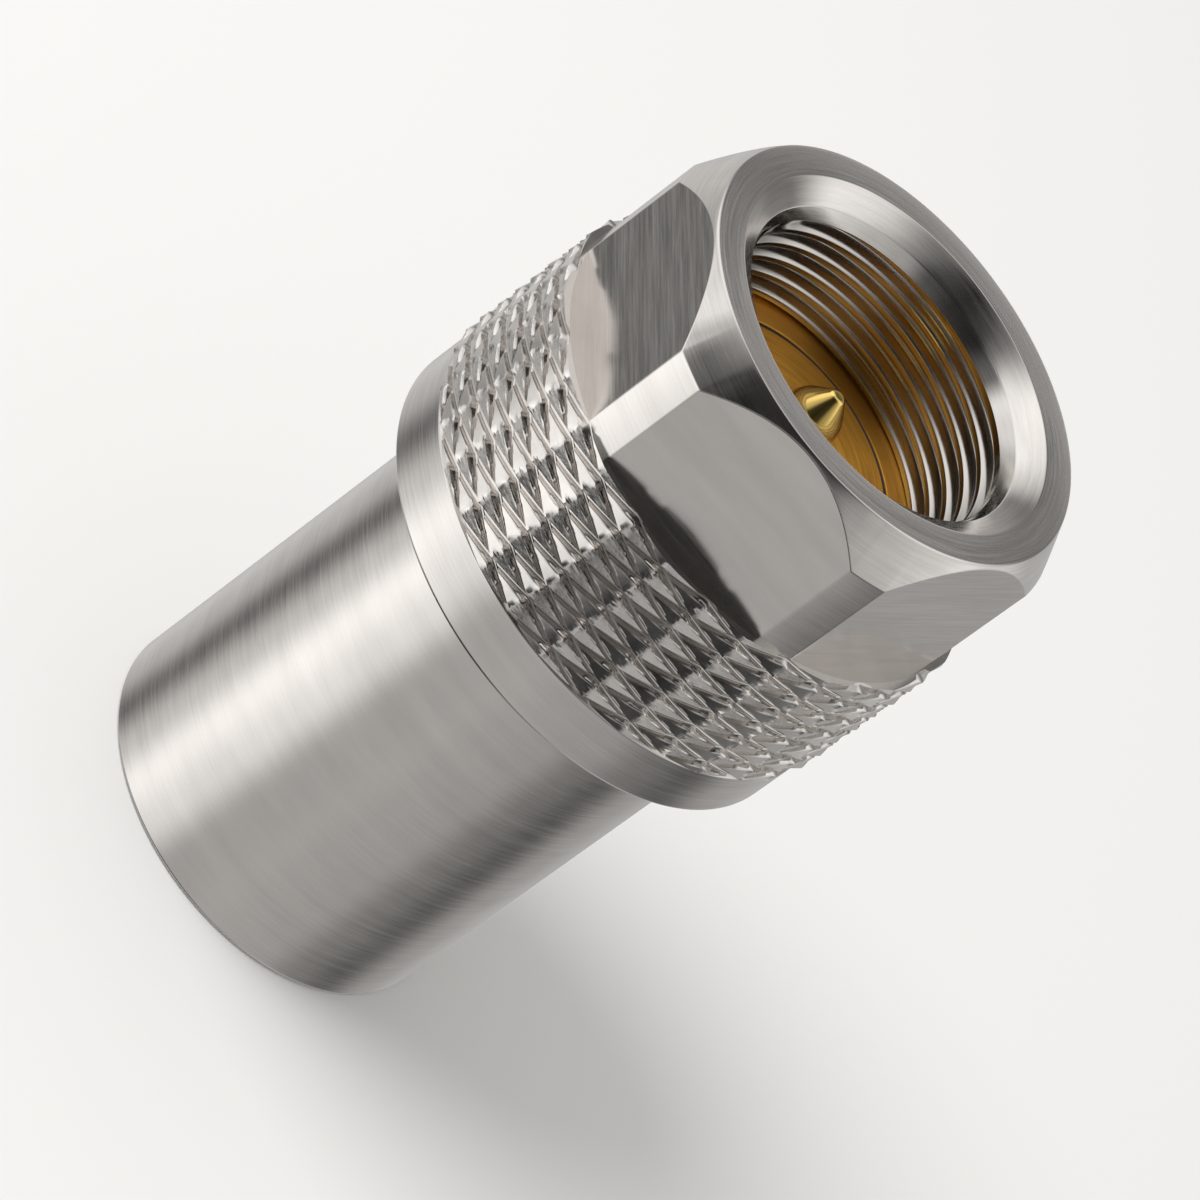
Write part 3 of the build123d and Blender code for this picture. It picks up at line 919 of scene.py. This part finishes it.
def build_bead(settings):
    """The insulating bead around the pin."""
    sizes, colours = settings.housing, settings.colours
    finish = Finish("bead_amber", colours.amber, 0.85, 0.36)
    marks = finish.noise(finish.around(8000, 2.0, "r"), detail=3.0)
    finish.tinted(marks, colours.amber, 0.16)
    finish.link(finish.spread(marks, 0.30, 0.40), finish.shader.inputs["Roughness"])
    finish.bump(marks, 0.0009 * MM)
    finish.drawn_out(0.93)
    hole = sizes.pin_neck + sizes.fitted_gap
    step = bead_high.x - sizes.seal_width
    outline = [
        (hole, bead_low.z),
        (bead_high.x, bead_low.z),
        (bead_high.x, bead_seal_low.z),
        (step, bead_seal_low.z),
        (step, bead_high.z - sizes.seam_bevel),
        (step - sizes.seam_bevel, bead_high.z),
        (hole, bead_high.z),
    ]
    bead = turned_piece("support_bead_finish", outline, sizes.edge_radius / 2, [finish.material])
    place(bead, "housing", "support_bead", "amber_bead_plastic")


def slotted(piece, width, depth, reach):
    """Cuts two crossing slots into the pin's rear end, with blocks that reach past its sides."""
    cutter = bmesh.new()
    for along, across in ((reach, width / 2), (width / 2, reach)):
        block = bmesh.ops.create_cube(cutter, size=2)
        size = Matrix.Diagonal((along, across, depth, 1))
        bmesh.ops.transform(cutter, matrix=Matrix.Translation((0, 0, pin_low.z)) @ size,
                            verts=block["verts"])
    mesh = bpy.data.meshes.new("slots")
    cutter.to_mesh(mesh)
    cutter.free()
    slots = bpy.data.objects.new("slots", mesh)
    bpy.context.scene.collection.objects.link(slots)
    cut = piece.modifiers.new("slots", "BOOLEAN")
    cut.object = slots
    cut.use_self = True
    seen = piece.evaluated_get(bpy.context.evaluated_depsgraph_get())
    piece.data = bpy.data.meshes.new_from_object(seen)
    piece.modifiers.clear()
    bpy.data.objects.remove(slots)
    return piece


def build_pin(settings):
    """The polished pin: cone, rounded tip and shoulder, neck in the bead, slotted rear socket."""
    sizes, colours = settings.housing, settings.colours
    radius, tip, rear = pin_high.x, pin_high.z, pin_low.z
    foot, cone_foot = bead_high.z + sizes.fitted_gap, tip - sizes.cone_length
    profile = [
        (0, rear + sizes.socket_depth),
        (sizes.socket_radius, rear + sizes.socket_depth),
        (sizes.socket_radius, rear),
        (radius, rear),
        (radius, bead_low.z - sizes.fitted_gap),
        (sizes.pin_neck, bead_low.z - sizes.fitted_gap),
        (sizes.pin_neck, foot),
        (radius, foot),
    ]
    sharp = eased([*profile, (radius, cone_foot)], sizes.seam_bevel / 2)[:-1]
    shoulder = eased([(radius, foot), (radius, cone_foot), (sizes.tip_radius, tip)],
                     sizes.shoulder_reach, steps=12)[1:-1]
    tip_edge = sizes.tip_radius * 0.7
    end = eased([(radius, cone_foot), (sizes.tip_radius, tip), (0, tip)],
                tip_edge, steps=10)[1:-1]
    outline = [*sharp, *shoulder, *end, (0, tip)]
    shape = RingMesh()
    angles = even_angles(PIN_STEPS)
    rings = [shape.ring(angles, max(r, POLE_RADIUS), z) for r, z in outline]
    shape.skin(rings, 0)
    gold = turned_metal(
        "pin_gold", colours.pin_gold, 0.09, 9000, along="both", depth=0.0005, drawn=0.2, share=0.06
    )
    pin = slotted(shape.build("centre_pin_finish", [gold]), sizes.slot_width,
                  sizes.socket_depth, radius * 2)
    place(pin, "housing", "centre_pin", "pin_gold")


def finish_solids(settings):
    """Materials for the solids that are shown as they are."""
    colours = settings.colours
    rubber = grained("seal_rubber", colours.rubber, 0.0, 0.6, 6000, 0.004)
    brass = turned_metal("inner_brass", colours.brass, 0.26, 7000, along="both")
    bronze = turned_metal("spring_bronze", colours.bronze, 0.30, 6000, along="both")
    nickel = turned_metal("cap_nickel", colours.nickel, 0.16, 8000, along="both")
    white = grained("white_plastic", colours.white_plastic, 0.0, 0.45, 5000, 0.003, 0.04)
    ceramic = grained("resistor_ceramic", colours.ceramic, 0.0, 0.55, 9000, 0.004, 0.10)
    cap_steel = turned_metal("cap_steel", colours.steel, 0.26, 9000, along="r")
    shown = {
        "snap_ring": bronze, "nut_o_ring": rubber, "slip_washer": white,
        "contact_o_ring": rubber, "bead_seal_ring": rubber, "rear_bead": white,
        "resistor_front_cap": nickel, "resistor_rod": ceramic,
        "resistor_rear_cap": nickel, "taper_sleeve": brass, "ground_plug": brass,
        "spring_washer": bronze, "retaining_ring": brass, "rear_cap": cap_steel,
        "cap_o_ring": rubber,
    }
    for node, material in shown.items():
        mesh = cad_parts[node].data
        mesh.materials.clear()
        mesh.materials.append(material)


# Stage

# The camera, fitted to the object's outline and circles in the photograph
CAMERA_PLACE = Vector((-0.037054, -0.306732, 0.222784))
CAMERA_RIGHT = Vector((0.641406, 0.365411, 0.674591))
CAMERA_BACK = Vector((-0.102923, -0.830356, 0.547646))
LENS = 255.29
SENSOR = 36.0

EVEN_LIGHT = (1.0, 0.995, 0.985, 1)     # on matt surfaces
BACKDROP = (0.92, 0.915, 0.90, 1)       # behind the floor, for the camera
PANEL_TINT = (1, 0.995, 0.98)

# Studio light that metal mirrors: for each height in degrees, strengths at azimuths in degrees
LIGHT_BANDS = (
    (-75, ((-180, 0.08), (-100, 0.03), (0, 0.06), (90, 0.10))),
    (-56, ((-180, 0.40), (-160, 0.14), (-145, 0.04), (-108, 0.03), (-90, 0.14), (-66, 0.50),
           (-20, 0.62), (20, 0.55), (60, 0.55), (90, 0.75), (120, 0.80), (157, 0.55))),
    (-33, ((-180, 0.72), (-157, 1.50), (-133, 1.15), (-109, 0.58), (-85, 0.58), (-61, 0.48),
           (-37, 0.42), (-13, 0.20), (9, 0.08), (37, 0.38), (60, 0.48), (85, 0.48),
           (107, 0.66), (131, 0.55), (155, 0.11))),
    (-12, ((-180, 1.00), (-160, 1.20), (-138, 1.30), (-122, 1.10), (-108, 0.25), (-98, 0.02),
           (-40, 0.02), (-18, 0.15), (6, 0.55), (28, 0.80), (50, 0.50), (68, 0.48),
           (95, 0.50), (120, 0.66), (140, 0.65), (160, 0.50))),
    (4, ((-180, 1.05), (-160, 1.10), (-140, 0.95), (-115, 0.25), (-90, 0.30), (-55, 0.30),
         (-30, 0.50), (-8, 0.80), (10, 1.05), (30, 0.75), (56, 0.25), (83, 0.60),
         (108, 0.35), (130, 0.60), (155, 0.50))),
    (19, ((-180, 0.85), (-163, 1.05), (-144, 0.10), (-118, 0.01), (-95, 0.03), (-72, 0.10),
          (-50, 0.45), (-29, 0.60), (0, 0.80), (30, 0.70), (47, 0.20), (65, 0.18),
          (83, 0.60), (105, 0.20), (119, 0.22), (132, 0.85), (155, 1.10))),
    (36, ((-180, 1.10), (-150, 0.55), (-122, 0.04), (-97, 0.02), (-70, 0.04), (-40, 0.35),
          (0, 0.85), (27, 1.12), (46, 0.50), (64, 0.25), (83, 0.04), (103, 0.25),
          (124, 0.75), (142, 1.22), (165, 1.20))),
    (56, ((-180, 1.10), (-160, 0.30), (-130, 0.03), (-95, 0.02), (-50, 0.04), (-22, 0.38),
          (-1, 0.72), (14, 1.00), (50, 0.85), (83, 0.60), (120, 0.95), (150, 1.25))),
    (76, ((-180, 0.22), (-140, 0.05), (-95, 0.02), (-50, 0.05), (-20, 0.20), (20, 0.40),
          (83, 0.60), (130, 0.50), (160, 0.32))),
)


class WorldNodes:
    """Short calls for the world's nodes."""

    def __init__(self, tree):
        self.tree = tree
        tree.nodes.clear()

    def add(self, kind, *values, **settings):
        node = self.tree.nodes.new(kind)
        for key, value in settings.items():
            setattr(node, key, value)
        for socket, value in zip(node.inputs, values):
            if isinstance(value, bpy.types.NodeSocket):
                self.tree.links.new(value, socket)
            else:
                socket.default_value = value
        return node.outputs[0]


def light_band(world, around, stops):
    """Strength of the light around the scene, at one height."""
    strength = world.add("ShaderNodeValToRGB", around)
    ramp = strength.node.color_ramp
    ramp.interpolation = "EASE"
    wrapped = [*stops, (180, stops[0][1])]
    while len(ramp.elements) < len(wrapped):
        ramp.elements.new(0.5)
    for element, (azimuth, level) in zip(ramp.elements, wrapped):
        element.position = (azimuth + 180) / 360
        element.color = (*(level * share for share in PANEL_TINT), 1)
    return strength


def build_world(even_strength):
    """An even light for matt surfaces, and soft light panels with dark gaps for metal."""
    bpy.context.scene.world = bpy.data.worlds.new("studio")
    bpy.context.scene.world.use_nodes = True
    world = WorldNodes(bpy.context.scene.world.node_tree)
    direction = world.tree.nodes.new("ShaderNodeTexCoord").outputs["Generated"]
    x, y, z = world.add("ShaderNodeSeparateXYZ", direction).node.outputs
    angle = world.add("ShaderNodeMath", y, x, operation="ARCTAN2")
    share = world.add("ShaderNodeMath", angle, TURN, operation="DIVIDE")
    around = world.add("ShaderNodeMath", share, 0.5, operation="ADD")
    tilt = world.add("ShaderNodeMath", z, operation="ARCSINE")
    height = world.add("ShaderNodeMath", tilt, 360 / TURN, operation="MULTIPLY")
    result = light_band(world, around, LIGHT_BANDS[0][1])
    for (below, ignored), (degrees, stops) in zip(LIGHT_BANDS, LIGHT_BANDS[1:]):
        mix = world.add(
            "ShaderNodeMapRange", height, float(below), float(degrees), 0.0, 1.0,
            interpolation_type="SMOOTHSTEP",
        )
        result = world.add("ShaderNodeMixRGB", mix, result, light_band(world, around, stops))
    panels = world.add("ShaderNodeBackground", result)
    even = world.add("ShaderNodeBackground", EVEN_LIGHT, even_strength)
    backdrop = world.add("ShaderNodeBackground", BACKDROP)
    path = world.tree.nodes.new("ShaderNodeLightPath").outputs
    matt = world.add("ShaderNodeMixShader", path["Is Glossy Ray"], even, panels)
    seen = world.add("ShaderNodeMixShader", path["Is Camera Ray"], matt, backdrop)
    output = world.tree.nodes.new("ShaderNodeOutputWorld")
    world.tree.links.new(seen, output.inputs["Surface"])


def build_stage(settings):
    """Floor, light and camera."""
    scene = bpy.context.scene
    scene.view_settings.view_transform = "Standard"
    build_world(even_strength=0.62)

    floor_finish = Finish("floor_matt", settings.colours.floor, 0.0, 0.9)
    floor_finish.shader.inputs["Specular IOR Level"].default_value = 0.1
    mesh = bpy.data.meshes.new("floor")
    reach = 4.0
    mesh.from_pydata(
        [(-reach, -reach, 0), (reach, -reach, 0), (reach, reach, 0), (-reach, reach, 0)],
        [], [(0, 1, 2, 3)],
    )
    mesh.materials.append(floor_finish.material)
    floor = bpy.data.objects.new("floor", mesh)
    scene.collection.objects.link(floor)
    floor.visible_glossy = False

    lamp_data = bpy.data.lights.new("soft_lamp", "AREA")
    lamp_data.shape = "DISK"
    lamp_data.size = 0.30
    lamp_data.energy = 1.6
    lamp = bpy.data.objects.new("soft_lamp", lamp_data)
    lamp.location = (-0.26, -0.06, 0.44)
    aim = Vector((0, 0, cad_high.z / 2)) - lamp.location
    lamp.rotation_euler = aim.to_track_quat("-Z", "Y").to_euler()
    lamp.visible_glossy = False
    scene.collection.objects.link(lamp)

    camera_data = bpy.data.cameras.new("camera")
    camera_data.lens = LENS
    camera_data.sensor_width = SENSOR
    camera_data.clip_start = 0.01
    camera = bpy.data.objects.new("camera", camera_data)
    up = CAMERA_BACK.cross(CAMERA_RIGHT)
    turn = Matrix((CAMERA_RIGHT, up, CAMERA_BACK)).transposed().to_4x4()
    camera.matrix_world = Matrix.Translation(CAMERA_PLACE) @ turn
    scene.collection.objects.link(camera)
    scene.camera = camera


# Add-on

class TerminatorSettings(PropertyGroup):
    nut: PointerProperty(type=NutSizes, name="Nut", description="Sizes of the coupling nut")
    thread: PointerProperty(type=ThreadSizes, name="Thread", description="Sizes of the thread")
    housing: PointerProperty(type=HousingSizes, name="Housing", description="Sizes of the rest")
    colours: PointerProperty(type=FinishColours, name="Colours", description="Colours")


class TERMINATOR_OT_nut(Operator):
    """Build the coupling nut with its knurl and thread"""
    bl_idname = "terminator.nut"
    bl_label = "Coupling nut"

    def execute(self, context):
        build_nut(context.scene.terminator)
        return {"FINISHED"}


class TERMINATOR_OT_body(Operator):
    """Build the plain body"""
    bl_idname = "terminator.body"
    bl_label = "Body"

    def execute(self, context):
        build_body(context.scene.terminator)
        return {"FINISHED"}


class TERMINATOR_OT_mating_end(Operator):
    """Build the outer contact, the bead and the pin inside the nut's mouth"""
    bl_idname = "terminator.mating_end"
    bl_label = "Mating end"

    def execute(self, context):
        build_contact(context.scene.terminator)
        build_bead(context.scene.terminator)
        build_pin(context.scene.terminator)
        return {"FINISHED"}


class TERMINATOR_OT_solids(Operator):
    """Give the seals and the inner pieces their materials"""
    bl_idname = "terminator.solids"
    bl_label = "Inner pieces"

    def execute(self, context):
        finish_solids(context.scene.terminator)
        return {"FINISHED"}


class TERMINATOR_OT_stage(Operator):
    """Build the floor, the light and the camera"""
    bl_idname = "terminator.stage"
    bl_label = "Stage"

    def execute(self, context):
        build_stage(context.scene.terminator)
        return {"FINISHED"}


OPERATORS = (
    TERMINATOR_OT_nut,
    TERMINATOR_OT_body,
    TERMINATOR_OT_mating_end,
    TERMINATOR_OT_solids,
    TERMINATOR_OT_stage,
)


class TERMINATOR_PT_pieces(Panel):
    """The terminator's pieces, in the order in which they are built"""
    bl_idname = "TERMINATOR_PT_pieces"
    bl_label = "Terminator"
    bl_space_type = "VIEW_3D"
    bl_region_type = "UI"
    bl_category = "Terminator"

    def draw(self, context):
        for operator in OPERATORS:
            self.layout.operator(operator.bl_idname)


CLASSES = (
    NutSizes,
    ThreadSizes,
    HousingSizes,
    FinishColours,
    TerminatorSettings,
    *OPERATORS,
    TERMINATOR_PT_pieces,
)


def register():
    for item in CLASSES:
        bpy.utils.register_class(item)
    bpy.types.Scene.terminator = PointerProperty(type=TerminatorSettings)


def unregister():
    del bpy.types.Scene.terminator
    for item in reversed(CLASSES):
        bpy.utils.unregister_class(item)


def main():
    register()
    bpy.ops.terminator.nut()
    bpy.ops.terminator.body()
    bpy.ops.terminator.mating_end()
    bpy.ops.terminator.solids()
    bpy.ops.terminator.stage()


if __name__ == "__main__":
    main()
